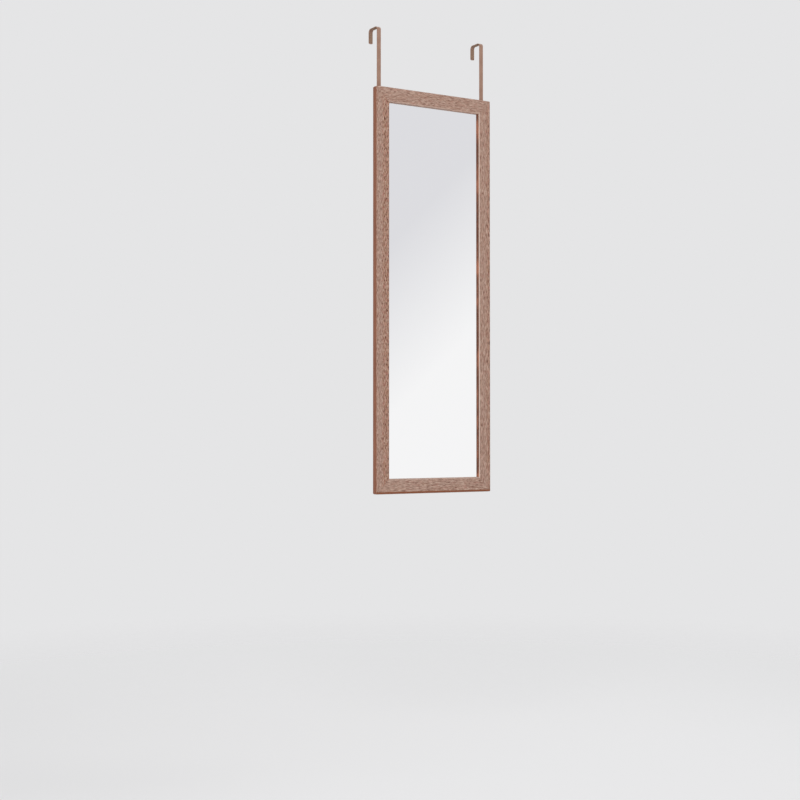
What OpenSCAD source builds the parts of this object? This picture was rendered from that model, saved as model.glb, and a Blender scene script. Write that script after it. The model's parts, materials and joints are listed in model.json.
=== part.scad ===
// Framed mirror that hangs over the top of a door on two flat steel hooks.
// X runs across the mirror, Y runs from the mirror's face into the door, and Z is up.
// The origin is the middle of the door's top edge, on the side where the mirror hangs.

/* [Frame] */
// Width of the frame
frame_w = 370; // [260:1:600]
// Height of the frame
frame_h = 1090; // [600:1:1600]
// Depth of the frame, from its face to its back
frame_d = 18; // [15:0.5:30]
// Width of the moulding, seen from the front
moulding_w = 41; // [34:0.5:60]
// Radius of the moulding's outer front edge
outer_edge_r = 4; // [1.5:0.5:6]
// Radius of the moulding's inner front edge
inner_edge_r = 3; // [1:0.5:4]
// Radius of the moulding's outer back edge
back_edge_r = 1; // [0.75:0.25:2]
// Radius of the frame's four corners, seen from the front
corner_r = 5; // [1:0.5:6]
// Thickness of the wood-effect foil
foil_t = 0.3; // [0.2:0.05:0.5]
// How far the foil turns over onto the frame's back
foil_turn = 8; // [5:0.5:11]

/* [Mirror and backing] */
// Width of the rebate that the glass sits in
rebate_w = 7; // [5:0.5:9]
// Thickness of the glass
glass_t = 3; // [2:0.5:4]
// Thickness of the card between the glass and the board
card_t = 1; // [0.5:0.25:2]
// Thickness of the backing board
board_t = 2.5; // [2:0.25:3.5]
// How far the board lies below the frame's back
board_sunk = 5; // [1.25:0.25:6]
// Gap between the glass's edge and the rebate's wall
sheet_gap = 1; // [0.5:0.25:2]

/* [Door] */
// Thickness of the door that the hooks fit
door_t = 35; // [28:1:50]
// Slack between the door's back and the hook's lip
door_slack = 2; // [0:0.5:6]
// Distance from the door's top down to the frame's top
frame_drop = 162; // [80:1:300]

/* [Hooks] */
// Width of the strap
strap_w = 12; // [10:0.5:18]
// Thickness of the strap
strap_t = 1.5; // [1:0.1:3]
// Distance from the frame's side to the middle of the strap
hook_inset = 18.5; // [14:0.5:24]
// Inner radius of the strap's bends
bend_r = 8; // [3:0.5:10]
// Distance from the door's top down to the end of the lip
lip_drop = 36; // [24:1:80]
// Radius of the corners at the strap's two ends
strap_end_r = 3; // [1:0.5:4.5]
// Thickness of the foam strips in the hook
foam_t = 1.5; // [0.5:0.25:3]
// How far the foam strips stay inside the strap's edges
foam_margin = 0.75; // [0.25:0.25:2]

/* [Height adjustment] */
// How far the frame can be raised from the height shown
raise_travel = 40; // [0:1:60]
// How far the frame can be lowered from the height shown
lower_travel = 20; // [0:1:60]
// Distance from the frame's top down to the upper screw
first_screw = 45; // [30:1:120]
// Distance between the two screws of a hook
screw_pitch = 40; // [20:1:80]
// Gap on each side of a screw in the slot
slot_gap = 0.45; // [0.2:0.05:0.8]
// Strap left below the slot
slot_end = 6; // [4:0.5:12]
// Gap on each face of the strap, which lets it slide
slide_gap = 0.1; // [0.05:0.05:0.3]

/* [Screws and washers] */
// Outer radius of the screw's thread
screw_r = 1.75; // [1.5:0.05:2]
// Radius at the root of the screw's thread
screw_root_r = 1.25; // [1:0.05:1.4]
// Distance from one turn of the thread to the next
thread_pitch = 1.2; // [0.8:0.1:1.6]
// Length of the screw under its head
screw_l = 13; // [10:0.5:16]
// Length of the screw's point
screw_tip = 2.5; // [1.5:0.5:4]
// Radius of the screw's head
head_r = 3.5; // [3.2:0.1:4.5]
// Height of the screw's head
head_h = 2.2; // [1.8:0.1:3]
// Radius of the head's rounded edge
head_edge_r = 1.2; // [0.4:0.1:1.5]
// Length of each arm of the cross in the head, from its middle
cross_l = 1.9; // [1.2:0.1:2.4]
// Width of the cross in the head
cross_w = 0.9; // [0.5:0.1:1.2]
// Depth of the cross in the head
cross_d = 1.3; // [0.8:0.1:1.6]
// Gap between the screw's head and the door
head_clear = 0.3; // [0.1:0.1:1]
// Radius of the pilot hole
pilot_r = 1.2; // [0.8:0.05:1.4]
// How far the pilot hole runs on past the screw's point
pilot_spare = 1; // [0.5:0.25:2]
// Outer radius of the washer
washer_r = 4.5; // [4:0.1:5.5]
// Thickness of the washer
washer_t = 0.8; // [0.5:0.1:1.2]
// Gap between the screw and the washer's hole
washer_gap = 0.25; // [0.1:0.05:0.5]

/* [Corner nails] */
// Length of each leg of a corner nail
nail_leg = 5; // [3:0.5:7]
// Thickness of a corner nail
nail_t = 0.6; // [0.4:0.1:1]
// Height of a corner nail
nail_h = 10; // [6:0.5:12]
// How far a corner nail stands out of the wood
nail_proud = 0.1; // [0.05:0.05:0.15]
// Distance from the foil's turned edge to the outer nail
outer_nail_gap = 1; // [0.5:0.5:3]
// Distance from the rebate's wall to the inner nail
inner_nail_gap = 3; // [2:0.5:5]

/* [Backing points] */
// Length of a point
point_l = 15; // [11:0.5:18]
// Width of a point
point_w = 6; // [4:0.5:10]
// Thickness of a point
point_t = 0.5; // [0.3:0.1:0.8]
// Length of a point that is pushed into the wood
point_grip = 6.5; // [4:0.5:9]
// Length of the tapered end of a point
point_taper = 3; // [1:0.5:4]
// Number of points along each stile
points_per_stile = 4; // [2:1:8]
// Number of points along each rail
points_per_rail = 2; // [1:1:4]

/* [Bumpers] */
// Radius of a bumper
bumper_r = 7; // [5:0.5:9]
// Radius of the rounded edge of a bumper
bumper_edge_r = 1.5; // [0.5:0.25:2.5]
// Distance from the frame's side to a bumper's middle
bumper_inset = 20; // [18:0.5:24]
// Distance from the frame's bottom up to a bumper's middle
bumper_rise = 55; // [50:1:120]

/* [Hidden] */
$fn = 96;

// How far a cutting shape reaches past what it cuts
over = 2;

// Colours
foil_colour = "#a38577";
core_colour = "#9c7a58";
hook_colour = "#a58370";
glass_colour = "#dfe1e6";
card_colour = "#b79a72";
board_colour = "#6f4f36";
steel_colour = "#b9bcc0";
foam_colour = "#8c705e";
rubber_colour = "#4a4643";

// Places along Y. The door's face is at 0, and the screws' heads set how far off it the frame stands
y_head = -(head_clear + head_h);
y_washer = y_head - washer_t;
y_strap_back = y_washer - slide_gap;
y_strap_front = y_strap_back - strap_t;
y_back = y_strap_front - slide_gap;
y_core_back = y_back - foil_t;
y_front = y_back - frame_d;
recess = frame_d - glass_t - card_t - board_t - board_sunk;
y_glass = y_front + recess;
y_card = y_glass + glass_t;
y_board = y_card + card_t;
y_points = y_board + board_t;
y_lip_pad = door_t + door_slack;
y_lip = y_lip_pad + foam_t;
y_hook_back = y_lip + strap_t;
hook_d = y_hook_back - y_strap_front;

// Places along Z. The door's top is at 0
z_bridge = foam_t;
z_hook_top = z_bridge + strap_t;
z_top = -frame_drop;
z_bottom = z_top - frame_h;
z_middle = z_top - frame_h / 2;
z_screws = [z_top - first_screw, z_top - first_screw - screw_pitch];

// Places along X
x_side = frame_w / 2;
x_hook = x_side - hook_inset;

// Sizes of the opening, the back's flat land, and the glass and the sheets behind it
opening_w = frame_w - 2 * moulding_w;
opening_h = frame_h - 2 * moulding_w;
land_w = moulding_w - rebate_w;
sheet_w = opening_w + 2 * (rebate_w - sheet_gap);
sheet_h = opening_h + 2 * (rebate_w - sheet_gap);

// The slot in the strap, and the strap's lower end
slot_r = screw_r + slot_gap;
slot_top = z_screws[0] + raise_travel;
slot_bottom = z_screws[1] - lower_travel;
strap_end = slot_bottom - slot_r - slot_end;

// The screw's plain neck, its turns of thread and its pilot hole
neck_l = y_head - y_core_back;
thread_turns = floor((screw_l - neck_l - screw_tip) / thread_pitch);
pilot_d = y_core_back - (y_head - screw_l) + pilot_spare;

// Turns a drawing with X across and Y up into a sheet that runs back from y by t
module upright(y, t) {
    translate([0, y + t, 0])
        rotate([90, 0, 0])
        linear_extrude(t)
        children();
}

// Turns a drawing with X back and Y up into a strip of width w whose middle is at x
module strip(x, w) {
    translate([x - w / 2, 0, 0])
        rotate([90, 0, 90])
        linear_extrude(w)
        children();
}

// What a rounded corner of radius r at the origin cuts from a shape that lies towards +X and +Y
module corner_waste(r) {
    difference() {
        translate([-over, -over])
            square(r + over);
        translate([r, r])
            circle(r);
    }
}

// Moves what is at the origin to a corner, and turns it towards the shape that has the corner
module at_corner(x, y, towards_x, towards_y) {
    translate([x, y])
        mirror([towards_x < 0 ? 1 : 0, 0])
        mirror([0, towards_y < 0 ? 1 : 0])
        children();
}

// Mirrors what belongs to the left or the top onto the right or the bottom
module at_right() {
    mirror([1, 0, 0])
        children();
}

module at_bottom() {
    translate([0, 0, 2 * z_middle])
        mirror([0, 0, 1])
        children();
}

// Section of the moulding, drawn in by inset. X runs in from the frame's side, Y back from its face
module moulding_section(inset) {
    difference() {
        translate([inset, inset])
            square([moulding_w - 2 * inset, frame_d - 2 * inset]);
        at_corner(inset, inset, 1, 1)
            corner_waste(outer_edge_r - inset);
        at_corner(moulding_w - inset, inset, -1, 1)
            corner_waste(inner_edge_r - inset);
        at_corner(inset, frame_d - inset, 1, -1)
            corner_waste(back_edge_r - inset);
        translate([land_w, recess])
            square([rebate_w + over, frame_d]);
    }
}

// The part of the moulding's section that the foil leaves bare on the back
module bare_section() {
    translate([foil_turn, frame_d - foil_t])
        square([moulding_w, foil_t + over]);
}

// Runs a section along the left stile, with some length to spare at both ends
module along_stile() {
    translate([-x_side, y_front, z_bottom - over])
        linear_extrude(frame_h + 2 * over)
        children();
}

// Runs a section along the top rail, with some length to spare at both ends
module along_rail() {
    translate([-x_side - over, y_front, z_top])
        rotate([0, 90, 0])
        linear_extrude(frame_w + 2 * over)
        children();
}

// The waste outside the frame's rounded corners, drawn in by inset
module corner_posts(inset) {
    upright(y_front - over, frame_d + 2 * over)
        for (side = [-1, 1], end = [-1, 1])
            at_corner(side * (x_side - inset), z_middle + end * (frame_h / 2 - inset), -side, -end)
                corner_waste(corner_r - inset);
}

// The stretch of the left stile between its two mitres
module stile_mitres() {
    reach = moulding_w + over;
    upright(y_front - over, frame_d + 2 * over)
        polygon([
            [-x_side - over, z_top + over],
            [-x_side - over, z_bottom - over],
            [-x_side + reach, z_bottom + reach],
            [-x_side + reach, z_top - reach]
        ]);
}

// The stretch of the top rail between its two mitres
module rail_mitres() {
    reach = moulding_w + over;
    upright(y_front - over, frame_d + 2 * over)
        polygon([
            [-x_side - over, z_top + over],
            [-x_side + reach, z_top - reach],
            [x_side - reach, z_top - reach],
            [x_side + over, z_top + over]
        ]);
}

// The left stile before its mitres are cut, drawn in by inset
module stile_blank(inset) {
    difference() {
        along_stile()
            moulding_section(inset);
        corner_posts(inset);
    }
}

// The top rail before its mitres are cut, drawn in by inset
module rail_blank(inset) {
    difference() {
        along_rail()
            moulding_section(inset);
        corner_posts(inset);
    }
}

// Wooden core of the left stile, with the pilot holes for the hook's screws
module stile_core() {
    color(core_colour)
        difference() {
            intersection() {
                stile_blank(foil_t);
                stile_mitres();
            }
            for (z = z_screws)
                translate([-x_hook, y_core_back - pilot_d, z])
                rotate([-90, 0, 0])
                cylinder(r = pilot_r, h = pilot_d + over);
        }
}

// Wooden core of the top rail
module rail_core() {
    color(core_colour)
        intersection() {
            rail_blank(foil_t);
            rail_mitres();
        }
}

// Foil that wraps the left stile
module stile_foil() {
    color(foil_colour)
        intersection() {
            difference() {
                stile_blank(0);
                stile_blank(foil_t);
                along_stile()
                    bare_section();
            }
            stile_mitres();
        }
}

// Foil that wraps the top rail
module rail_foil() {
    color(foil_colour)
        intersection() {
            difference() {
                rail_blank(0);
                rail_blank(foil_t);
                along_rail()
                    bare_section();
            }
            rail_mitres();
        }
}

// One corner nail, with its bend on the mitre at a distance in from the top left corner
module corner_nail(distance) {
    upright(y_core_back + nail_proud - nail_h, nail_h)
        at_corner(-x_side + distance, z_top - distance, 1, -1)
        polygon([
            [0, 0],
            [nail_leg, 0],
            [nail_leg, nail_t],
            [nail_t, nail_t],
            [nail_t, nail_leg],
            [0, nail_leg]
        ]);
}

// The two nails of the top left corner
module nail_pair() {
    corner_nail(foil_turn + outer_nail_gap);
    corner_nail(land_w - inner_nail_gap - nail_leg);
}

// The nails of all four corners
module corner_v_nails() {
    color(steel_colour) {
        nail_pair();
        at_right()
            nail_pair();
        at_bottom()
            nail_pair();
        at_bottom()
            at_right()
            nail_pair();
    }
}

// A sheet that fills the rebate, apart from the gap round it
module rebate_sheet(y, t) {
    upright(y, t)
        translate([-sheet_w / 2, z_middle - sheet_h / 2])
        square([sheet_w, sheet_h]);
}

// Silvered glass
module mirror_glass() {
    color(glass_colour)
        rebate_sheet(y_glass, glass_t);
}

// Card that keeps the board off the silvering
module backing_pad() {
    color(card_colour)
        rebate_sheet(y_card, card_t);
}

// Hardboard that closes the back
module backing_board() {
    color(board_colour)
        rebate_sheet(y_board, board_t);
}

// Outline of a point whose tapered end lies towards -X, with the rebate's wall at the origin
module point_outline() {
    polygon([
        [-point_grip, 0],
        [point_taper - point_grip, point_w / 2],
        [point_l - point_grip, point_w / 2],
        [point_l - point_grip, -point_w / 2],
        [point_taper - point_grip, -point_w / 2]
    ]);
}

// Middle of place i of a number of equal stretches of a length
function spread(i, number, length) = ((i + 0.5) / number - 0.5) * length;

// The points in the left stile
module stile_points() {
    for (i = [0 : points_per_stile - 1])
        upright(y_points, point_t)
            translate([-x_side + land_w, z_middle + spread(i, points_per_stile, opening_h)])
            point_outline();
}

// The points in the top rail
module rail_points() {
    for (i = [0 : points_per_rail - 1])
        upright(y_points, point_t)
            translate([spread(i, points_per_rail, opening_w), z_top - land_w])
            rotate(-90)
            point_outline();
}

// The points of the whole frame
module backing_points() {
    color(steel_colour) {
        stile_points();
        at_right()
            stile_points();
        rail_points();
        at_bottom()
            rail_points();
    }
}

// Side view of the space under the strap's outer face, drawn in by inset
module strap_arch(inset) {
    w = hook_d - 2 * inset;
    h = z_hook_top - inset - strap_end + over;
    translate([y_strap_front + inset, strap_end - over])
        difference() {
            square([w, h]);
            at_corner(0, h, 1, -1)
                corner_waste(bend_r + strap_t - inset);
            at_corner(w, h, -1, -1)
                corner_waste(bend_r + strap_t - inset);
        }
}

// Waste that rounds the two corners of the strap's end at height z, on the leg that starts at y
module strap_end_waste(y, z) {
    upright(y - over, strap_t + 2 * over) {
        for (side = [-1, 1])
            at_corner(-x_hook + side * strap_w / 2, z, -side, 1)
                corner_waste(strap_end_r);
        translate([-x_hook - strap_w, z - frame_h])
            square([2 * strap_w, frame_h]);
    }
}

// Waste of the slot that the screws pass through
module slot_waste() {
    upright(y_strap_front - over, strap_t + 2 * over) {
        translate([-x_hook - slot_r, slot_bottom])
            square([2 * slot_r, slot_top - slot_bottom]);
        for (z = [slot_bottom, slot_top])
            translate([-x_hook, z])
                circle(slot_r);
    }
}

// Left hook: a strap bent over the door's top, with a lip behind the door
module hook() {
    color(hook_colour)
        difference() {
            strip(-x_hook, strap_w)
                difference() {
                    strap_arch(0);
                    strap_arch(strap_t);
                }
            strap_end_waste(y_strap_front, strap_end);
            strap_end_waste(y_lip, -lip_drop);
            slot_waste();
        }
}

// Foam strip under the left hook's bridge
module bridge_pad() {
    pad_l = y_lip - y_strap_back - 2 * bend_r - 2 * foam_margin;
    color(foam_colour)
        strip(-x_hook, strap_w - 2 * foam_margin)
        translate([y_strap_back + bend_r + foam_margin, 0])
        square([pad_l, foam_t]);
}

// Foam strip inside the left hook's lip
module lip_pad() {
    pad_bottom = strap_end_r - lip_drop;
    pad_top = z_bridge - bend_r - foam_margin;
    color(foam_colour)
        strip(-x_hook, strap_w - 2 * foam_margin)
        translate([y_lip_pad, pad_bottom])
        square([foam_t, pad_top - pad_bottom]);
}

// Puts a turned shape at each screw of the left hook, with its own +Z towards the frame's face
module at_screws() {
    for (z = z_screws)
        translate([-x_hook, y_head, z])
            rotate([90, 0, 0])
            children();
}

// Washers under the screws' heads
module washers() {
    color(steel_colour)
        at_screws()
        difference() {
            cylinder(r = washer_r, h = washer_t);
            translate([0, 0, -over])
                cylinder(r = screw_r + washer_gap, h = washer_t + 2 * over);
        }
}

// Half of the screw's side view: the head below 0, then the neck, the thread and the point
module screw_section() {
    thread = [
        for (turn = [0 : thread_turns - 1], half = [0, 1])
            [half == 0 ? screw_root_r : screw_r, neck_l + (turn + half / 2) * thread_pitch]
    ];
    difference() {
        translate([0, -head_h])
            square([head_r, head_h]);
        at_corner(head_r, -head_h, -1, 1)
            corner_waste(head_edge_r);
    }
    polygon(concat(
        [[0, -head_h / 2], [screw_r, -head_h / 2], [screw_r, neck_l]],
        thread,
        [[screw_root_r, neck_l + thread_turns * thread_pitch], [0, screw_l]]
    ));
}

// Pan-head screws that clamp the left hook
module screws() {
    color(steel_colour)
        at_screws()
        difference() {
            rotate_extrude()
                screw_section();
            for (angle = [0, 90])
                rotate([0, 0, angle])
                translate([-cross_l, -cross_w / 2, -head_h - over])
                cube([2 * cross_l, cross_w, cross_d + over]);
        }
}

// Rubber bumper on the frame's back, at the lower left corner
module bumper() {
    height = -y_core_back;
    translate([-x_side + bumper_inset, y_core_back, z_bottom + bumper_rise])
        rotate([-90, 0, 0])
        rotate_extrude()
        difference() {
            square([bumper_r, height]);
            at_corner(bumper_r, height, -1, -1)
                corner_waste(bumper_edge_r);
        }
}

// Both bumpers
module door_bumpers() {
    color(rubber_colour) {
        bumper();
        at_right()
            bumper();
    }
}

stile_core();  // stile_left
at_right() stile_core();  // stile_right
rail_core();  // rail_top
at_bottom() rail_core();  // rail_bottom
stile_foil();  // stile_left_foil
at_right() stile_foil();  // stile_right_foil
rail_foil();  // rail_top_foil
at_bottom() rail_foil();  // rail_bottom_foil
corner_v_nails();
mirror_glass();
backing_pad();
backing_board();
backing_points();
hook();  // hook_left
at_right() hook();  // hook_right
bridge_pad();  // hook_left_bridge_pad
at_right() bridge_pad();  // hook_right_bridge_pad
lip_pad();  // hook_left_lip_pad
at_right() lip_pad();  // hook_right_lip_pad
washers();  // hook_left_washers
at_right() washers();  // hook_right_washers
screws();  // hook_left_screws
at_right() screws();  // hook_right_screws
door_bumpers();
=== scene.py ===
"""The looks of an over the door mirror: a finish for each piece of its frame, its back and its two hooks, the
foam strips that line the hooks, and the floor, lamps and camera that show it. The scene is in metres, and its
patterns are laid out in millimetres of the frame's own coordinates. X runs across the mirror, Y from its face
into the door, and Z up."""
import json
import math

import bmesh
import bpy
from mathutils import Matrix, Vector, noise


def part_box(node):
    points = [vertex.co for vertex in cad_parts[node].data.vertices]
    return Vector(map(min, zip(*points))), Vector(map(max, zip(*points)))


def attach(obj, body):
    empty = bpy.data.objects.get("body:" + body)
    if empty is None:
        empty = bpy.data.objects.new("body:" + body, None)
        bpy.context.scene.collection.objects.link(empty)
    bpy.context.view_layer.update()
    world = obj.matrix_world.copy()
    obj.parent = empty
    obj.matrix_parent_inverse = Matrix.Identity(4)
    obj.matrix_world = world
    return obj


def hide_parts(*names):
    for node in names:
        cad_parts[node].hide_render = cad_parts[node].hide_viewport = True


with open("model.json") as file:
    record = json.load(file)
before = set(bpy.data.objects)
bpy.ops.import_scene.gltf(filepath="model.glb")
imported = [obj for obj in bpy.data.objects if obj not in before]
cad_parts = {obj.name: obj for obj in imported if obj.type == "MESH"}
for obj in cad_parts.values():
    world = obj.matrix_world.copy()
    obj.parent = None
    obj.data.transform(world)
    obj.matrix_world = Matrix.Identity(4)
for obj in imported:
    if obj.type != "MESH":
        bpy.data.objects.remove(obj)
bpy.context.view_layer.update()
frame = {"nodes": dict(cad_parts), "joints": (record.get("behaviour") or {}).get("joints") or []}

MM = 0.001
NODES = frame["nodes"]
SIDES = ("left", "right")
SLIDE_RANGES = {joint["child"]: joint["range_m"] for joint in frame["joints"]}


def box_mm(node):
    """The lowest and highest corner of a node, in millimetres."""
    low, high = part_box(node)
    return low / MM, high / MM


STILE_LOW, STILE_HIGH = box_mm("stile_right_foil")
TOP = box_mm("rail_top_foil")[1].z
FOOT = box_mm("rail_bottom_foil")[0].z
FRONT = STILE_LOW.y                         # the moulding's front face
MOULDING = STILE_HIGH.x - STILE_LOW.x       # the moulding's width
HALF_WIDTH = STILE_HIGH.x
HALF_HEIGHT = (TOP - FOOT) / 2
MIDDLE_HEIGHT = (TOP + FOOT) / 2


def display(red, green, blue):
    """The linear colour of display values from 0 to 255."""

    def linear(value):
        share = value / 255
        return share / 12.92 if share <= 0.04045 else ((share + 0.055) / 1.055) ** 2.4

    return linear(red), linear(green), linear(blue), 1.0


# ---------------------------------------------------------------- node trees


class Sheet:
    """One shader tree. Its methods add nodes to it, and return what the last of them puts out."""

    def __init__(self, tree):
        self.tree = tree

    def add(self, kind, inputs=None, **settings):
        """Adds a node. The settings are its own, and the inputs are values or other nodes' outputs."""
        node = self.tree.nodes.new("ShaderNode" + kind)
        for name, value in settings.items():
            setattr(node, name, value)
        for name, value in (inputs or {}).items():
            self.feed(node.inputs[name], value)
        return node

    def feed(self, socket, value):
        """Links an output to a socket, or sets the socket's own value."""
        if isinstance(value, bpy.types.NodeSocket):
            self.tree.links.new(value, socket)
        else:
            socket.default_value = value

    def maths(self, operation, first, second=0.0):
        return self.add("Math", {0: first, 1: second}, operation=operation).outputs[0]

    def plus(self, first, second):
        return self.maths("ADD", first, second)

    def minus(self, first, second):
        return self.maths("SUBTRACT", first, second)

    def times(self, first, second):
        return self.maths("MULTIPLY", first, second)

    def size(self, value):
        return self.maths("ABSOLUTE", value)

    def most(self, first, second):
        return self.maths("MAXIMUM", first, second)

    def flip(self, value):
        """One minus the value."""
        return self.minus(1.0, value)

    def reach(self, first, second):
        """How far the point with those two coordinates lies from zero."""
        return self.maths("SQRT", self.plus(self.times(first, first), self.times(second, second)))

    def rise(self, value, start, end):
        """Eases from 0 to 1 while the value goes from start to end. Start may be the higher of the two."""
        inputs = {"Value": value, "From Min": start, "From Max": end}
        return self.add("MapRange", inputs, interpolation_type="SMOOTHSTEP").outputs["Result"]

    def below(self, value, edge, soft):
        """1 where the value is below the edge and 0 above it, eased over the stretch soft on each side."""
        return self.rise(value, edge + soft, edge - soft)

    def spread(self, value, low, high):
        """Takes a value from 0 to 1 to the stretch from low to high."""
        return self.plus(self.times(value, high - low), low)

    def mix(self, share, first, second):
        """Colour first, with that share of colour second."""
        return self.add("Mix", {0: share, 6: first, 7: second}, data_type="RGBA").outputs[2]

    def overlaid(self, colour, *layers):
        """The colour with tints laid over it in turn. A layer is its mask, its share and its tint."""
        for mask, share, tint in layers:
            colour = self.mix(self.times(mask, share), colour, tint)
        return colour

    def parts(self, vector):
        """The X, Y and Z of a vector."""
        return self.add("SeparateXYZ", {0: vector}).outputs

    def point(self, x, y, z=0.0):
        return self.add("CombineXYZ", {0: x, 1: y, 2: z}).outputs[0]

    def scaled(self, vector, scales):
        return self.add("VectorMath", {0: vector, 1: scales}, operation="MULTIPLY").outputs[0]

    def turned(self, vector, angle):
        """The vector turned by that many radians in the plane of the mirror's face."""
        inputs = {"Vector": vector, "Angle": angle}
        return self.add("VectorRotate", inputs, rotation_type="Y_AXIS").outputs[0]

    def noise(self, vector, scale=1.0, detail=2.0, roughness=0.5):
        """Cloudy noise from 0 to 1, with about scale clouds to each unit of the vector."""
        inputs = {"Vector": vector, "Scale": scale, "Detail": detail, "Roughness": roughness}
        return self.add("TexNoise", inputs).outputs[0]

    def place_mm(self):
        """The shaded point in the frame's coordinates, in millimetres."""
        return self.scaled(self.add("TexCoord").outputs["Object"], (1 / MM,) * 3)

    def facing(self):
        """The X, Y and Z of the surface's direction, in the frame's coordinates."""
        return self.parts(self.add("TexCoord").outputs["Normal"])

    def use(self, group, inputs):
        """Places a node group and returns its outputs."""
        node = self.add("Group", node_tree=group)
        for name, value in inputs.items():
            self.feed(node.inputs[name], value)
        return node.outputs

    def bump(self, height, depth):
        """The surface's direction under a relief. A step of 1 in height is depth millimetres."""
        return self.add("Bump", {"Height": height, "Distance": depth * MM}).outputs[0]


def new_group(name, inputs, outputs):
    """A new node group: its sheet, what comes in and where its results go. The inputs and the outputs give
    each socket's name and kind."""
    tree = bpy.data.node_groups.new(name, "ShaderNodeTree")
    for label, kind in inputs.items():
        tree.interface.new_socket(label, in_out="INPUT", socket_type="NodeSocket" + kind)
    for label, kind in outputs.items():
        tree.interface.new_socket(label, in_out="OUTPUT", socket_type="NodeSocket" + kind)
    start = tree.nodes.new("NodeGroupInput")
    end = tree.nodes.new("NodeGroupOutput")
    return Sheet(tree), start.outputs, end.inputs


def empty_material(name):
    """A material without nodes, and its sheet."""
    material = bpy.data.materials.new(name)
    material.use_nodes = True
    material.node_tree.nodes.clear()
    return material, Sheet(material.node_tree)


def new_material(name, **constants):
    """A material with one Principled shader, its sheet, and the shader's inputs with the constants set."""
    material, sheet = empty_material(name)
    shader = sheet.add("BsdfPrincipled")
    sheet.feed(sheet.add("OutputMaterial").inputs["Surface"], shader.outputs[0])
    for label, value in constants.items():
        shader.inputs[label.replace("_", " ")].default_value = value
    return material, sheet, shader.inputs


# ---------------------------------------------------------------- shared effects

WEAR_TURN = (0.995, 0.9)            # the cosines of an edge's turn at which wear begins, and is full
THREAD_WAYS = (0.35, 1.45, 2.5)     # the ways that pressed fibres lie, in radians
THREAD_SHAPE = (0.07, 0.5, 0.9)     # threads to a fibre's width: along them first, then across
SCRATCH_SHAPE = (4.0, 4.0, 0.12)    # scratches to a millimetre: across them first, then along
CROSSING_SHAPE = (3.0, 3.0, 0.1)    # the same for those that cross them
CROSSING_WAY = 0.6                  # how far these turn from the others, in radians


def make_edge_wear():
    """Edges that are rubbed: up to 1 on an edge, broken up by noise, and 0 on flat stretches. Width is how
    far from an edge the wear reaches, in metres."""
    inputs = {"Width": "Float", "Place": "Vector"}
    sheet, given, result = new_group("edge_wear", inputs, {"Wear": "Float"})
    rounded = sheet.add("Bevel", {"Radius": given["Width"]}, samples=6).outputs[0]
    straight = sheet.add("NewGeometry").outputs["Normal"]
    alike = sheet.add("VectorMath", {0: rounded, 1: straight}, operation="DOT_PRODUCT").outputs["Value"]
    edge = sheet.rise(alike, *WEAR_TURN)
    broken = sheet.rise(sheet.noise(given["Place"], scale=0.16, detail=4.0, roughness=0.65), 0.36, 0.62)
    sheet.feed(result["Wear"], sheet.times(edge, sheet.spread(broken, 0.35, 1.0)))
    return sheet.tree


def make_dust():
    """Dust that has settled on what faces up."""
    sheet, given, result = new_group("settled_dust", {"Place": "Vector"}, {"Dust": "Float"})
    up = sheet.rise(sheet.facing()["Z"], 0.35, 0.95)
    clouds = sheet.rise(sheet.noise(given["Place"], scale=0.07, detail=5.0, roughness=0.7), 0.3, 0.7)
    specks = sheet.rise(sheet.noise(given["Place"], scale=1.7), 0.58, 0.72)
    amount = sheet.plus(sheet.spread(clouds, 0.25, 0.7), sheet.times(specks, 0.3))
    sheet.feed(result["Dust"], sheet.times(up, amount))
    return sheet.tree


def make_fibres():
    """Pressed fibres: light threads, dark specks and an even grit. Size is a fibre's width in millimetres."""
    outputs = {"Threads": "Float", "Specks": "Float", "Grit": "Float"}
    sheet, given, result = new_group("pressed_fibres", {"Place": "Vector", "Size": "Float"}, outputs)
    unit = sheet.maths("DIVIDE", 1.0, given["Size"])
    place = sheet.add("VectorMath", {0: given["Place"], "Scale": unit}, operation="SCALE").outputs[0]
    threads = []
    for way in THREAD_WAYS:
        lines = sheet.noise(sheet.scaled(sheet.turned(place, way), THREAD_SHAPE), detail=1.0)
        threads.append(sheet.rise(lines, 0.62, 0.74))
    sheet.feed(result["Threads"], sheet.most(sheet.most(threads[0], threads[1]), threads[2]))
    sheet.feed(result["Specks"], sheet.rise(sheet.noise(place, scale=0.45, detail=1.0), 0.63, 0.7))
    sheet.feed(result["Grit"], sheet.noise(place, scale=1.1, detail=3.0, roughness=0.65))
    return sheet.tree


def make_scratches():
    """Fine straight scratches along Z, and a few fainter ones that cross them."""
    sheet, given, result = new_group("fine_scratches", {"Place": "Vector"}, {"Scratches": "Float"})
    long_way = sheet.noise(sheet.scaled(given["Place"], SCRATCH_SHAPE))
    crossing = sheet.noise(sheet.scaled(sheet.turned(given["Place"], CROSSING_WAY), CROSSING_SHAPE))
    faint = sheet.times(sheet.rise(crossing, 0.66, 0.76), 0.6)
    sheet.feed(result["Scratches"], sheet.most(sheet.rise(long_way, 0.6, 0.72), faint))
    return sheet.tree


def make_moulding_wrap():
    """Lays a moulding's foil out flat. Across is the distance from the mirror's middle, Middle the same for
    the moulding's own middle, and Depth the distance behind its front. Offset is how far out from the
    moulding's middle a point lies."""
    inputs = {"Along": "Float", "Across": "Float", "Depth": "Float", "Middle": "Float", "Seed": "Float"}
    sheet, given, result = new_group("moulding_wrap", inputs, {"Flat": "Vector", "Offset": "Float"})
    offset = sheet.minus(given["Across"], given["Middle"])
    wrapped = sheet.plus(offset, sheet.times(sheet.maths("SIGN", offset), given["Depth"]))
    sheet.feed(result["Flat"], sheet.point(given["Along"], wrapped, given["Seed"]))
    sheet.feed(result["Offset"], offset)
    return sheet.tree


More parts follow.
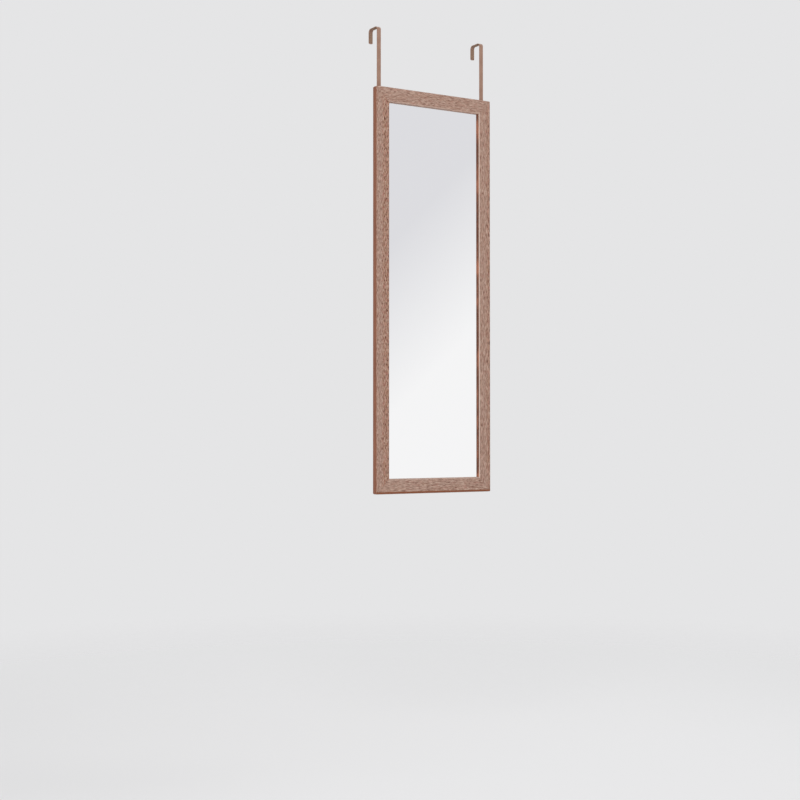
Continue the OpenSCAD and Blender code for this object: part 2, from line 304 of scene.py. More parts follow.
# The parts of the foil's print that are plain clouds: a cloud's length and width in millimetres, its detail,
# a shift that keeps the parts from lying alike, and the noise levels at which a part begins, and is full.
PRINT_CLOUDS = {
    "Bands": (120.0, 3.0, 2.0, 7.0, 0.38, 0.62),
    "Warm": (55.0, 13.0, 2.0, 31.0, 0.44, 0.64),
    "Red": (13.0, 4.0, 1.0, 211.0, 0.5, 0.64),
    "Mottle": (9.0, 4.2, 1.0, 67.0, 0.4, 0.6),
    "Pores": (6.0, 0.45, 1.0, 171.0, 0.57, 0.66),
}
GRAIN_WANDER = 14.0     # how far the grain wanders sideways, in millimetres
GRAIN_COMBING = 0.9     # how strongly the dashes and flecks are split into fine lines


def make_wood_print():
    """The printed grain of the foil: wavy growth bands, warm and red patches, a mottle, dark dashes and pale
    flecks that are groups of fine lines, and fine pores. Flat is the place on the foil in millimetres: X
    along the grain, Y across."""
    outputs = (*PRINT_CLOUDS, "Dashes", "Flecks")
    sheet, given, result = new_group("wood_print", {"Flat": "Vector"}, dict.fromkeys(outputs, "Float"))
    drift = sheet.noise(sheet.scaled(given["Flat"], (0.007, 0.02, 1.0)), detail=1.0)
    x, y, z = sheet.parts(given["Flat"])
    wavy = sheet.point(x, sheet.plus(y, sheet.times(drift, GRAIN_WANDER)), z)

    def clouds(length, width, detail, shift):
        """Noise in clouds of that length and width in millimetres."""
        moved = sheet.add("VectorMath", {0: wavy, 1: (shift, shift, shift)}, operation="ADD").outputs[0]
        return sheet.noise(sheet.scaled(moved, (1 / length, 1 / width, 1.0)), detail=detail, roughness=0.55)

    for part, (length, width, detail, shift, start, end) in PRINT_CLOUDS.items():
        sheet.feed(result[part], sheet.rise(clouds(length, width, detail, shift), start, end))
    lines = sheet.times(sheet.minus(clouds(16.0, 0.55, 2.0, 0.0), 0.5), GRAIN_COMBING)
    dark_groups = sheet.plus(clouds(9.0, 2.5, 1.0, 91.0), lines)
    pale_groups = sheet.minus(clouds(10.0, 2.6, 1.0, 113.0), lines)
    sheet.feed(result["Dashes"], sheet.rise(dark_groups, 0.53, 0.64))
    sheet.feed(result["Flecks"], sheet.rise(pale_groups, 0.53, 0.65))
    return sheet.tree


EDGE_WEAR = make_edge_wear()
DUST = make_dust()
FIBRES = make_fibres()
SCRATCHES = make_scratches()
MOULDING_WRAP = make_moulding_wrap()
WOOD_PRINT = make_wood_print()
DUST_COLOUR = display(196, 190, 184)


def dusted(sheet, colour, place, share):
    """The colour with that share of the settled dust on it."""
    return sheet.overlaid(colour, (sheet.use(DUST, {"Place": place})["Dust"], share, DUST_COLOUR))


def worn_edges(sheet, place, width):
    """Where the edges are rubbed, over that width in millimetres."""
    return sheet.use(EDGE_WEAR, {"Width": width * MM, "Place": place})["Wear"]


# ---------------------------------------------------------------- wood-effect foil

PRINT_GROUND = display(169, 136, 121)
PRINT_DEEP = display(163, 121, 100)
PRINT_PALE = display(212, 184, 167)
PRINT_WARM = display(167, 126, 101)
PRINT_RED = display(184, 127, 114)
PRINT_DARK = display(94, 50, 29)
PRINT_PORE = display(104, 72, 60)
# the outer sides' darker, redder tone: partly the foil's plainer edge colour, partly painted shade
SIDE_TONE_AND_SHADE = display(153, 95, 68)
SIDE_TONE_AND_SHADE_DARK = display(136, 83, 60)
# painted shade: the dark red-brown of the frame's shaded underside, laid along the front's lower edge
FOOT_SHADE = display(138, 81, 51)
# painted shade: the dark of the recessed reveal beside the glass
REVEAL_SHADE = display(110, 65, 45)
REVEAL_SHADE_RED = display(180, 116, 88)
# painted highlight: the pale line where the inner arris catches the light
ARRIS_HIGHLIGHT = display(223, 202, 189)
FOIL_ARRIS = display(190, 160, 144)

# What is printed over the ground, in order: the part of the print, its tint, and the tint's share where the
# tone is plain and where it is deep.
PRINT_LAYERS = (
    ("Bands", PRINT_PALE, 0.28, 0.28),
    ("Warm", PRINT_WARM, 0.2, 0.6),
    ("Red", PRINT_RED, 0.3, 0.75),
    ("Mottle", PRINT_DARK, 0.08, 0.08),
    ("Flecks", PRINT_PALE, 0.66, 0.66),
    ("Dashes", PRINT_DARK, 0.63, 1.0),
    ("Pores", PRINT_PORE, 0.45, 0.45),
)

# Lengths on the foil, in millimetres.
LINE_START, LINE_END = 4.0, 1.65    # where the painted highlight on the inner arris lies, out from the opening
LINE_SOFT = 0.3                     # how softly the sides of the painted highlight and the painted shade fade
FOOT_SHADE_HEIGHT = 5.9                     # how high the painted shade along the front's lower edge is
FOOT_SHADE_SOFT = 0.4                     # how softly its top fades
SEAM_START, SEAM_END = 0.5, 0.12    # how near a mitre its dark line begins, and is full
ARRIS_WIDTH = 1.2                   # how wide the foil's rubbed edges are
PRINT_RELIEF = 0.06                 # how deep the print is pressed in


def foil_finish(name, seed, along, across, stretch, reach, deep, reveal, line):
    """Wood-effect foil on one moulding. Along and across are the axes that its grain and its width follow,
    stretch draws the grain out, and reach is how far the outer side lies from the mirror's middle. The tone
    deepens between the two places deep, measured out from the moulding's middle. Reveal is the share of the
    painted shade on the recess beside the glass, and line the share of the pale line, a painted highlight."""
    material, sheet, shader = new_material(name, Specular_IOR_Level=0.3)
    place = sheet.place_mm()
    at = sheet.parts(place)
    offsets = {"X": at["X"], "Z": sheet.minus(at["Z"], MIDDLE_HEIGHT)}
    half = MOULDING / 2
    wrap = sheet.use(MOULDING_WRAP, {
        "Along": sheet.times(at[along], 1 / stretch), "Across": sheet.size(offsets[across]),
        "Depth": sheet.minus(at["Y"], FRONT), "Middle": reach - half, "Seed": seed,
    })
    grain = sheet.use(WOOD_PRINT, {"Flat": wrap["Flat"]})

    deeper = sheet.rise(wrap["Offset"], *deep)
    colour = sheet.mix(deeper, PRINT_GROUND, PRINT_DEEP)
    for part, tint, plain_share, deep_share in PRINT_LAYERS:
        share = sheet.spread(deeper, plain_share, deep_share)
        colour = sheet.overlaid(colour, (grain[part], share, tint))

    front = sheet.rise(sheet.facing()["Y"], -0.4, -0.9)
    outer_half = sheet.rise(wrap["Offset"], 0.0, 1.0)
    # the painted shade of the underside, on the lowest stretch of the front
    foot_shade_mask = sheet.below(sheet.minus(at["Z"], FOOT), FOOT_SHADE_HEIGHT, FOOT_SHADE_SOFT)
    from_glass = sheet.plus(half, wrap["Offset"])
    from_mitre = sheet.minus(sheet.size(offsets["Z"]), sheet.size(at["X"]))
    from_mitre = sheet.size(sheet.plus(from_mitre, HALF_WIDTH - HALF_HEIGHT))
    # the sides' tone, partly the foil's edge colour and partly painted shade
    side_tone_and_shade = sheet.mix(grain["Bands"], SIDE_TONE_AND_SHADE, SIDE_TONE_AND_SHADE_DARK)
    foot_shade_tone = sheet.overlaid(FOOT_SHADE, (grain["Bands"], 0.4, REVEAL_SHADE))
    # the painted shade of the recess beside the glass, redder in the warm patches
    reveal_shade_tone = sheet.mix(grain["Warm"], REVEAL_SHADE, REVEAL_SHADE_RED)
    colour = sheet.overlaid(
        colour,
        # the outer side and back: edge colour with painted shade
        (outer_half, sheet.flip(front), side_tone_and_shade),
        # painted shade of the underside along the front's lower edge
        (foot_shade_mask, front, foot_shade_tone),
        # painted highlight along the inner arris
        (sheet.below(from_glass, LINE_START, LINE_SOFT), line, ARRIS_HIGHLIGHT),
        # painted shade on the recessed reveal beside the glass
        (sheet.below(from_glass, LINE_END, LINE_SOFT), reveal, reveal_shade_tone),
        (sheet.rise(from_mitre, SEAM_START, SEAM_END), 0.45, PRINT_PORE),
        (worn_edges(sheet, place, width=ARRIS_WIDTH), 0.15, FOIL_ARRIS),
    )
    sheet.feed(shader["Base Color"], dusted(sheet, colour, place, share=0.25))

    rough = sheet.spread(grain["Bands"], 0.44, 0.52)
    sheet.feed(shader["Roughness"], sheet.plus(rough, sheet.times(grain["Pores"], 0.16)))
    relief = sheet.plus(sheet.times(grain["Pores"], -0.8), sheet.times(grain["Dashes"], -0.25))
    sheet.feed(shader["Normal"], sheet.bump(relief, depth=PRINT_RELIEF))
    return material


# ---------------------------------------------------------------- the frame's core, the glass and the back

CORE_DARK = display(158, 126, 94)
CORE_PALE = display(194, 164, 130)
CORE_THREAD = display(208, 182, 148)
CORE_SPECK = display(120, 90, 64)
CORE_DAMP = display(138, 106, 76)


def core_finish():
    """Bare fibreboard, which the foil leaves open on the back and in the rebate."""
    material, sheet, shader = new_material("bare_fibreboard", Specular_IOR_Level=0.25)
    place = sheet.place_mm()
    fibres = sheet.use(FIBRES, {"Place": place, "Size": 0.32})
    damp = sheet.rise(sheet.noise(place, scale=0.02, detail=3.0, roughness=0.6), 0.4, 0.7)
    colour = sheet.overlaid(
        sheet.mix(fibres["Grit"], CORE_DARK, CORE_PALE),
        (fibres["Threads"], 0.22, CORE_THREAD),
        (fibres["Specks"], 0.3, CORE_SPECK),
        (damp, 0.16, CORE_DAMP),
    )
    sheet.feed(shader["Base Color"], dusted(sheet, colour, place, share=0.3))
    sheet.feed(shader["Roughness"], sheet.spread(fibres["Grit"], 0.78, 0.95))
    sheet.feed(shader["Normal"], sheet.bump(sheet.plus(fibres["Grit"], fibres["Threads"]), depth=0.08))
    return material


GLASS_SILVER = (0.944, 0.944, 0.942, 1.0)
GLASS_EDGE = display(126, 158, 146)
GLASS_PAINT = display(120, 122, 120)
GLASS_PAINT_PALE = display(134, 136, 133)
SILVER_HAZE = 0.012         # the mirror's roughness where it is a little hazy
UNSILVERED_ROUGH = 0.35     # the roughness of the glass's edge and of its paint


def glass_finish():
    """Silvered glass: a mirror in front, a green seamed edge, and grey protective paint behind."""
    material, sheet, shader = new_material("silvered_glass", Specular_IOR_Level=0.5)
    facing = sheet.facing()
    front = sheet.rise(facing["Y"], -0.8, -0.95)
    behind = sheet.rise(facing["Y"], 0.8, 0.95)
    clouds = sheet.noise(sheet.place_mm(), scale=0.012, detail=4.0, roughness=0.6)
    paint = sheet.mix(clouds, GLASS_PAINT, GLASS_PAINT_PALE)
    unsilvered = sheet.mix(behind, GLASS_EDGE, paint)
    sheet.feed(shader["Base Color"], sheet.mix(front, unsilvered, GLASS_SILVER))
    sheet.feed(shader["Metallic"], front)
    haze = sheet.times(sheet.rise(clouds, 0.5, 0.8), SILVER_HAZE)
    rough = sheet.plus(sheet.times(front, haze), sheet.times(sheet.flip(front), UNSILVERED_ROUGH))
    sheet.feed(shader["Roughness"], rough)
    return material


CARD_DARK = display(170, 140, 104)
CARD_PALE = display(194, 164, 128)
CARD_SPECK = display(120, 92, 64)


def card_finish():
    """Brown card between the glass and the board."""
    material, sheet, shader = new_material("backing_card", Specular_IOR_Level=0.2, Roughness=0.92)
    fibres = sheet.use(FIBRES, {"Place": sheet.place_mm(), "Size": 0.7})
    colour = sheet.mix(fibres["Grit"], CARD_DARK, CARD_PALE)
    sheet.feed(shader["Base Color"], sheet.overlaid(colour, (fibres["Specks"], 0.35, CARD_SPECK)))
    sheet.feed(shader["Normal"], sheet.bump(fibres["Grit"], depth=0.04))
    return material


BOARD_DARK = display(112, 80, 56)
BOARD_PALE = display(126, 92, 66)
BOARD_GRIT = display(92, 64, 44)
BOARD_THREAD = display(158, 122, 90)
BOARD_SPECK = display(64, 44, 32)
BOARD_RUBBED = display(170, 140, 112)
BOARD_EDGE = display(160, 126, 94)
BOARD_CLOUDS = (0.02, 0.02, 0.008)  # clouds to a millimetre along X, Y and Z
RUB_SCALES = (0.25, 0.25, 0.25)     # the board's rub marks are four times as large as fine scratches


def hardboard_finish():
    """Dark hardboard that closes the back: pressed fibres under a smooth skin with rub marks."""
    material, sheet, shader = new_material("hardboard", Specular_IOR_Level=0.45)
    place = sheet.place_mm()
    fibres = sheet.use(FIBRES, {"Place": place, "Size": 0.5})
    clouds = sheet.noise(sheet.scaled(place, BOARD_CLOUDS), detail=4.0, roughness=0.6)
    rubs = sheet.use(SCRATCHES, {"Place": sheet.scaled(place, RUB_SCALES)})["Scratches"]
    colour = sheet.overlaid(
        sheet.mix(sheet.rise(clouds, 0.3, 0.7), BOARD_DARK, BOARD_PALE),
        (fibres["Grit"], 0.35, BOARD_GRIT),
        (fibres["Threads"], 0.26, BOARD_THREAD),
        (fibres["Specks"], 0.35, BOARD_SPECK),
        (rubs, 0.14, BOARD_RUBBED),
        (worn_edges(sheet, place, width=0.8), 0.35, BOARD_EDGE),
    )
    sheet.feed(shader["Base Color"], colour)
    sheet.feed(shader["Roughness"], sheet.plus(sheet.spread(clouds, 0.42, 0.6), sheet.times(rubs, 0.1)))
    sheet.feed(shader["Normal"], sheet.bump(sheet.plus(fibres["Grit"], fibres["Threads"]), depth=0.03))
    return material


# ---------------------------------------------------------------- metals, foam and rubber

STEEL = (0.60, 0.60, 0.61, 1.0)
STEEL_TARNISH = (0.42, 0.39, 0.36, 1.0)
STEEL_MARK = (0.72, 0.72, 0.73, 1.0)


def bright_steel_finish():
    """Bright steel of the corner nails and the points, with drawing marks and a little tarnish."""
    material, sheet, shader = new_material("bare_steel", Metallic=1.0)
    place = sheet.place_mm()
    marks = sheet.use(SCRATCHES, {"Place": place})["Scratches"]
    tarnish = sheet.rise(sheet.noise(place, scale=0.3, detail=4.0, roughness=0.6), 0.48, 0.72)
    colour = sheet.overlaid(sheet.mix(tarnish, STEEL, STEEL_TARNISH), (marks, 0.3, STEEL_MARK))
    sheet.feed(shader["Base Color"], colour)
    sheet.feed(shader["Roughness"], sheet.plus(sheet.spread(tarnish, 0.28, 0.46), sheet.times(marks, 0.08)))
    sheet.feed(shader["Normal"], sheet.bump(marks, depth=0.01))
    return material


ZINC_BLUE = (0.58, 0.60, 0.64, 1.0)
ZINC_PALE = (0.74, 0.74, 0.74, 1.0)
ZINC_RINGS = 5.0        # turned rings to a millimetre


def zinc_finish(side):
    """Bright zinc plating on one hook's screws and washers, with faint turned rings round each screw."""
    material, sheet, shader = new_material(f"zinc_plating_{side}", Metallic=1.0)
    low, high = box_mm(f"hook_{side}_screws")
    middle = (low + high) / 2
    head_radius = (high.x - low.x) / 2
    half_pitch = (high.z - low.z) / 2 - head_radius
    place = sheet.place_mm()
    at = sheet.parts(place)
    above_screw = sheet.minus(sheet.size(sheet.minus(at["Z"], middle.z)), half_pitch)
    from_axis = sheet.reach(sheet.minus(at["X"], middle.x), above_screw)
    rings = sheet.noise(sheet.point(sheet.times(from_axis, ZINC_RINGS), at["Y"]))
    clouds = sheet.noise(place, scale=0.5, detail=3.0, roughness=0.6)
    sheet.feed(shader["Base Color"], sheet.mix(clouds, ZINC_BLUE, ZINC_PALE))
    sheet.feed(shader["Roughness"], sheet.plus(sheet.spread(clouds, 0.2, 0.34), sheet.times(rings, 0.1)))
    sheet.feed(shader["Normal"], sheet.bump(rings, depth=0.012))
    return material


COAT = display(162, 127, 109)
COAT_DEEP = display(151, 116, 98)
COAT_WORN = display(178, 148, 130)
# The slide marks' sides fade over RUB_SIDE. Their ends fade from RUB_END short of where a washer can reach to
# RUB_END past where it rests. Both are in millimetres.
RUB_SIDE = 0.8
RUB_END = 1.0


def slide_marks(sheet, side, place):
    """Where the washers have rubbed one hook's back: all along their way on it, and most where they rest."""
    hook_low, hook_high = box_mm(f"hook_{side}")
    low, high = box_mm(f"hook_{side}_washers")
    lowest, highest = (limit / MM for limit in SLIDE_RANGES[f"{side}_hook"])
    bearing = (high.x - low.x) / 2
    at = sheet.parts(place)
    from_middle = sheet.size(sheet.minus(at["X"], (hook_low.x + hook_high.x) / 2))
    beside = sheet.rise(from_middle, bearing, bearing - RUB_SIDE)
    under = sheet.rise(at["Z"], low.z - highest + RUB_END, low.z - RUB_END)
    over = sheet.rise(at["Z"], high.z - lowest - RUB_END, high.z + RUB_END)
    behind = sheet.rise(sheet.facing()["Y"], 0.7, 0.95)
    scored = sheet.spread(sheet.use(SCRATCHES, {"Place": place})["Scratches"], 0.2, 0.8)
    return sheet.times(sheet.times(beside, sheet.times(under, over)), sheet.times(behind, scored))


def coated_steel_finish(side):
    """Brown powder coat on one hook: an even grain, rubbed edges, and slide marks where the washers bear."""
    material, sheet, shader = new_material(f"coated_steel_{side}", Specular_IOR_Level=0.5)
    place = sheet.place_mm()
    clouds = sheet.noise(place, scale=0.05, detail=3.0, roughness=0.6)
    grit = sheet.noise(place, scale=1.5)
    rubbed = slide_marks(sheet, side, place)
    colour = sheet.overlaid(
        sheet.mix(sheet.rise(clouds, 0.3, 0.7), COAT, COAT_DEEP),
        (sheet.rise(grit, 0.55, 0.7), 0.25, COAT_WORN),
        (worn_edges(sheet, place, width=0.5), 0.45, COAT_WORN),
        (rubbed, 1.0, COAT_WORN),
    )
    sheet.feed(shader["Base Color"], dusted(sheet, colour, place, share=0.35))
    sheet.feed(shader["Roughness"], sheet.minus(sheet.spread(grit, 0.4, 0.56), sheet.times(rubbed, 0.12)))
    sheet.feed(shader["Normal"], sheet.bump(grit, depth=0.035))
    return material


# painted shade: the darker colour in each foam cell's hollow
FOAM_HOLLOW_SHADE = display(118, 92, 76)
FOAM = display(152, 124, 105)
FOAM_CELLS = 2.6        # foam cells to a millimetre


def foam_finish():
    """Brown closed-cell foam: small round cells, with painted shade in their hollows and paler walls."""
    material, sheet, shader = new_material("closed_cell_foam", Specular_IOR_Level=0.3)
    inputs = {"Vector": sheet.place_mm(), "Scale": FOAM_CELLS}
    from_middle = sheet.add("TexVoronoi", inputs, feature="F1").outputs["Distance"]
    wall = sheet.rise(from_middle, 0.1, 0.55)
    # the hollows of the cells are painted darker, as shade
    sheet.feed(shader["Base Color"], sheet.mix(wall, FOAM_HOLLOW_SHADE, FOAM))
    sheet.feed(shader["Roughness"], sheet.spread(wall, 0.7, 0.9))
    sheet.feed(shader["Normal"], sheet.bump(wall, depth=0.1))
    return material


RUBBER = display(58, 52, 48)
RUBBER_BLOOM = display(92, 86, 82)


def rubber_finish():
    """Moulded rubber bumpers: matt, with a little bloom."""
    material, sheet, shader = new_material("moulded_rubber", Specular_IOR_Level=0.4)
    place = sheet.place_mm()
    bloom = sheet.rise(sheet.noise(place, scale=0.35, detail=4.0, roughness=0.6), 0.4, 0.75)
    sheet.feed(shader["Base Color"], sheet.overlaid(RUBBER, (bloom, 0.5, RUBBER_BLOOM)))
    sheet.feed(shader["Roughness"], sheet.spread(bloom, 0.6, 0.8))
    sheet.feed(shader["Normal"], sheet.bump(sheet.noise(place, scale=3.0), depth=0.02))
    return material


# ---------------------------------------------------------------- the imported pieces

# reveal is the share of painted shade beside the glass; line is the share of the painted highlight, full on
# the right stile, whose arris faces the light
STILE = {"along": "Z", "across": "X", "reach": HALF_WIDTH, "reveal": 1.0}
RAIL = {
    "along": "X", "across": "Z", "reach": HALF_HEIGHT, "reveal": 0.2,
    "stretch": 1.45, "deep": (19.0, 40.0), "line": 0.25,
}
MOULDINGS = {
    "stile_left": {**STILE, "stretch": 1.0, "deep": (6.0, -5.0), "line": 0.0},
    "stile_right": {**STILE, "stretch": 1.4, "deep": (2.0, 19.0), "line": 1.0},
    "rail_top": RAIL,
    "rail_bottom": RAIL,
}
FIRST_SEED, SEED_STEP = 3.0, 7.0    # which stretch of the print each moulding is cut from

# The width of the bevel on the sharp edges of a node, in millimetres.
EDGE_WIDTHS = {
    "corner_v_nails": 0.08,
    "backing_points": 0.08,
    "mirror_glass": 0.4,
    "backing_board": 0.25,
    "hook_left_washers": 0.1,
    "hook_right_washers": 0.1,
    "hook_left": 0.25,
    "hook_right": 0.25,
}
SHARP_ANGLE = 40            # the least turn of an edge that is bevelled, in degrees
JOINED_WITHIN = 0.001       # how near points lie that are joined, in millimetres


def node_finishes():
    """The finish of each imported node, by its name, apart from the foam strips, which are modelled."""
    core = core_finish()
    steel = bright_steel_finish()
    finishes = {
        "corner_v_nails": steel,
        "mirror_glass": glass_finish(),
        "backing_pad": card_finish(),
        "backing_board": hardboard_finish(),
        "backing_points": steel,
        "door_bumpers": rubber_finish(),
    }
    for number, (moulding, looks) in enumerate(MOULDINGS.items()):
        seed = FIRST_SEED + SEED_STEP * number
        finishes[moulding] = core
        finishes[f"{moulding}_foil"] = foil_finish(f"foil_{moulding}", seed, **looks)
    for side in SIDES:
        zinc = zinc_finish(side)
        finishes[f"hook_{side}"] = coated_steel_finish(side)
        finishes[f"hook_{side}_screws"] = zinc
        finishes[f"hook_{side}_washers"] = zinc
    return finishes


def join_points(node):
    """Joins the points of a node's mesh that lie on each other, so that no face is empty."""
    weld = NODES[node].modifiers.new("weld", "WELD")
    weld.merge_threshold = JOINED_WITHIN * MM


def ease_edges(node, width):
    """Breaks a node's sharp edges with a narrow bevel, so that they catch the light."""
    join_points(node)
    bevel = NODES[node].modifiers.new("edges", "BEVEL")
    bevel.width = width * MM
    bevel.segments = 2
    bevel.limit_method = "ANGLE"
    bevel.angle_limit = math.radians(SHARP_ANGLE)
    bevel.harden_normals = True


def finish_nodes():
    """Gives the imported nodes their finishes, and the sharp ones their bevels."""
    for node, material in node_finishes().items():
        for slot in NODES[node].material_slots:
            slot.material = material
    for node, width in EDGE_WIDTHS.items():
        ease_edges(node, width)
    for side in SIDES:
        join_points(f"hook_{side}_screws")


# ---------------------------------------------------------------- foam strips

STRIP_STEP = 0.7 * MM       # the spacing of the mesh on a strip's faces
STRIP_DRAW = 0.22 * MM      # how far its cut sides draw in between its two faces
STRIP_EDGE = 0.35 * MM      # the radius of its pressed edges
STRIP_RIPPLE = 0.06 * MM    # how uneven its faces are
RIPPLE_LENGTH = 1.6 * MM    # about how far apart their bumps lie


class Strip:
    """The shape of the foam strip that fills a node's box: its middle, size, and thin, wide and long axes."""

    def __init__(self, node):
        low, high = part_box(node)
        self.middle = (low + high) / 2
        self.size = high - low
        self.thin, self.wide, self.long = sorted(range(3), key=lambda axis: self.size[axis])

    def mesh_lines(self):
        """Where the mesh's lines lie on the width and on the length. One edge is -1 and the other is 1."""
        counts = [max(2, round(self.size[axis] / STRIP_STEP)) for axis in (self.wide, self.long)]
        return [[2 * line / count - 1 for line in range(count + 1)] for count in counts]

    def face_point(self, across, along, face):
        """The point of one face on two lines of the mesh, which crowd towards the edges. Face is -1 or 1."""
        halves = self.size[self.wide] / 2, self.size[self.long] / 2
        spot = [math.sin(share * math.pi / 2) * half for share, half in zip((across, along), halves)]
        gap = min(half - abs(value) for half, value in zip(halves, spot))
        sunk = STRIP_EDGE - math.sqrt(max(0.0, STRIP_EDGE ** 2 - max(0.0, STRIP_EDGE - gap) ** 2))
        ripple = STRIP_RIPPLE * (0.5 + 0.5 * noise.noise(Vector((*spot, face)) / RIPPLE_LENGTH))
        point = self.middle.copy()
        point[self.wide] += spot[0]
        point[self.long] += spot[1]
        point[self.thin] += face * (self.size[self.thin] / 2 - sunk - ripple)
        return point

    def waist_point(self, lower, upper):
        """The point of a cut side between two points of the faces' rims, drawn in towards the middle."""
        point = (lower + upper) / 2
        inward = self.middle - point
        for axis in (self.wide, self.long):
            if self.size[axis] / 2 - abs(inward[axis]) <= STRIP_EDGE:
                point[axis] += math.copysign(min(abs(inward[axis]), STRIP_DRAW), inward[axis])
        return point


def rim_of(grid):
    """The vertices round the edge of a grid, in order."""
    last_i, last_j = len(grid) - 1, len(grid[0]) - 1
    return (
        [grid[i][0] for i in range(last_i)]
        + [grid[last_i][j] for j in range(last_j)]
        + [grid[i][last_j] for i in range(last_i, 0, -1)]
        + [grid[0][j] for j in range(last_j, 0, -1)]
    )


def strip_mesh(strip):
    """A strip's closed mesh: two pressed faces with soft edges, and cut sides that draw in between them."""
    mesh = bmesh.new()
    across_lines, along_lines = strip.mesh_lines()
    rims = []
    for face in (-1, 1):
        grid = [
            [mesh.verts.new(strip.face_point(across, along, face)) for along in along_lines]
            for across in across_lines
        ]
        for row, following in zip(grid, grid[1:]):
            for j in range(len(row) - 1):
                mesh.faces.new((row[j], following[j], following[j + 1], row[j + 1]))
        rims.append(rim_of(grid))
    waist = [mesh.verts.new(strip.waist_point(lower.co, upper.co)) for lower, upper in zip(*rims)]
    for first, second in ((rims[0], waist), (waist, rims[1])):
        for k in range(len(waist)):
            after = (k + 1) % len(waist)
            mesh.faces.new((first[k], first[after], second[after], second[k]))
    bmesh.ops.recalc_face_normals(mesh, faces=mesh.faces)
    return mesh


def new_object(name, mesh, material):
    """A new object of that mesh, which is used up, and that material."""
    data = bpy.data.meshes.new(name)
    mesh.to_mesh(data)
    mesh.free()
    data.materials.append(material)
    made = bpy.data.objects.new(name, data)
    bpy.context.scene.collection.objects.link(made)
    return made


def make_foam_strips():
    """Puts a modelled strip in the place of each foam node of the hooks."""
    foam = foam_finish()
    for side in SIDES:
        for part in ("bridge", "lip"):
            node = f"hook_{side}_{part}_pad"
            strip = new_object(f"{side}_{part}_foam_strip", strip_mesh(Strip(node)), foam)
            strip.data.shade_smooth()
            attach(strip, f"{side}_hook")
            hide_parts(node)


# ---------------------------------------------------------------- floor, light and camera

PHOTO_SIDE = 800            # the picture's width and height in pixels
FOCAL_LENGTH = 1452         # in pixels
CAMERA_PLACE = (-2.145, -3.339, -1.071)
CAMERA_YAW = 31.52          # degrees to the right of straight into the door
CAMERA_PITCH = 1.04         # degrees above the horizon


def make_camera():
    """The camera that takes the object as the photo does."""
    data = bpy.data.cameras.new("camera")
    data.lens = data.sensor_width * FOCAL_LENGTH / PHOTO_SIDE
    camera = bpy.data.objects.new("camera", data)
    camera.location = CAMERA_PLACE
    camera.rotation_euler = (math.radians(90 + CAMERA_PITCH), 0.0, -math.radians(CAMERA_YAW))
    bpy.context.scene.collection.objects.link(camera)
    bpy.context.scene.camera = camera


FLOOR_HEIGHT = -2.03        # the foot of a door whose top edge is at zero
FLOOR_REACH = 6.0
FLOOR_FADE = (0.72, 3.6)    # how far out the floor begins to clear, and is gone
FLOOR_COLOUR = display(234, 234, 235)
BACKDROP = display(229, 229, 230)


def floor_finish():
    """Matt and pale, and clearer with distance, so that the floor ends in the backdrop's colour."""
    material, sheet = empty_material("pale_floor")
    at = sheet.parts(sheet.add("TexCoord").outputs["Object"])
    fade = sheet.rise(sheet.reach(at["X"], at["Y"]), *FLOOR_FADE)
    matt = sheet.add("BsdfDiffuse", {"Color": FLOOR_COLOUR}).outputs[0]
    clear = sheet.add("BsdfTransparent").outputs[0]
    blend = sheet.add("MixShader", {0: fade, 1: matt, 2: clear}).outputs[0]
    sheet.feed(sheet.add("OutputMaterial").inputs["Surface"], blend)
    return material


def make_floor():
    """A round pale floor, which takes the object's shadow."""
    mesh = bmesh.new()
    bmesh.ops.create_circle(mesh, cap_ends=True, segments=96, radius=FLOOR_REACH)
    floor = new_object("floor", mesh, floor_finish())
    floor.location.z = FLOOR_HEIGHT


OBJECT_MIDDLE = Vector((0.0, 0.0, -0.62))
# Each lamp's way from the object's middle, its distance, its width, and its level, which is what a white card
# facing it would show of it.
LAMPS = {
    "key_lamp": ((-0.75, -1.0, 0.5), 4.6, 2.6, 0.42),
    "fill_lamp": ((1.0, -0.35, 0.85), 3.4, 1.8, 0.26),
    "rear_lamp": ((0.35, 1.0, 0.9), 3.2, 2.2, 0.34),
}


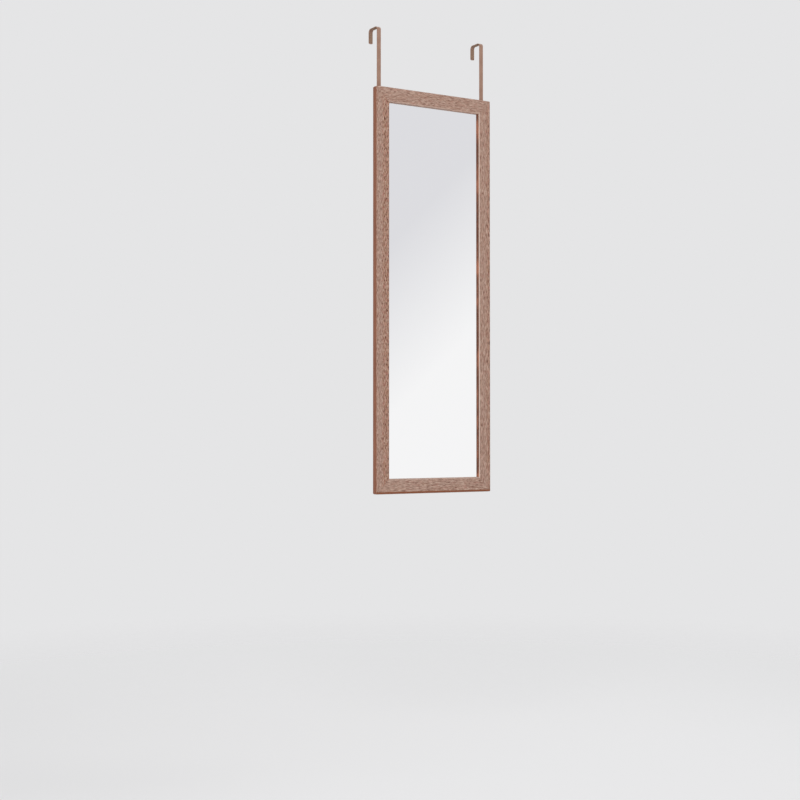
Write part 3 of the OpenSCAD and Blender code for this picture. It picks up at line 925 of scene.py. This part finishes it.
def make_lamps():
    """Soft square lamps round the object. Those in front of the mirror stay out of reflections, so that it
    shows only the pale room."""
    for name, (direction, distance, width, level) in LAMPS.items():
        data = bpy.data.lights.new(name, "AREA")
        data.shape = "SQUARE"
        data.size = width
        data.energy = level * (math.pi * distance) ** 2
        lamp = bpy.data.objects.new(name, data)
        away = Vector(direction).normalized()
        lamp.location = OBJECT_MIDDLE + away * distance
        lamp.rotation_euler = away.to_track_quat("Z", "Y").to_euler()
        lamp.visible_glossy = away.y > 0
        bpy.context.scene.collection.objects.link(lamp)


SKY = (0.56, 0.56, 0.56, 1.0)   # the even light from all round
ROOM_GREY = display(226, 226, 230)
ROOM_WHITE = display(251, 251, 252)
ROOM_FADE = (0.0135, 0.1314)    # the heights between which the reflected room goes from white to grey
ROOM_WAVES = 4                  # how often these heights rise and fall on the way round
ROOM_SLOPE = 1.04               # how steeply they rise where the camera sees them in the mirror


def make_world():
    """Even light, a plain pale backdrop for the camera, and for reflections a soft room: pale below, grey
    above. A heading goes round from the mirror's front towards X, and a height is the sine of the angle above
    the horizon."""
    world = bpy.data.worlds.new("studio")
    world.use_nodes = True
    world.node_tree.nodes.clear()
    sheet = Sheet(world.node_tree)
    at = sheet.parts(sheet.add("TexCoord").outputs["Generated"])
    heading = sheet.maths("ARCTAN2", at["X"], sheet.times(at["Y"], -1.0))
    waves = sheet.times(sheet.minus(heading, math.radians(CAMERA_YAW)), ROOM_WAVES)
    raised = sheet.times(sheet.maths("SINE", waves), ROOM_SLOPE / ROOM_WAVES)
    inputs = {"Value": sheet.minus(at["Z"], raised), "From Min": ROOM_FADE[0], "From Max": ROOM_FADE[1]}
    room = sheet.mix(sheet.add("MapRange", inputs).outputs[0], ROOM_WHITE, ROOM_GREY)
    path = sheet.add("LightPath").outputs
    shine = sheet.most(path["Is Glossy Ray"], path["Is Transmission Ray"])
    colour = sheet.mix(shine, SKY, room)
    colour = sheet.mix(path["Is Camera Ray"], colour, BACKDROP)
    light = sheet.add("Background", {"Color": colour}).outputs[0]
    sheet.feed(sheet.add("OutputWorld").inputs["Surface"], light)
    bpy.context.scene.world = world


make_camera()
finish_nodes()
make_foam_strips()
make_floor()
make_lamps()
make_world()
bpy.context.scene.view_settings.view_transform = "Standard"
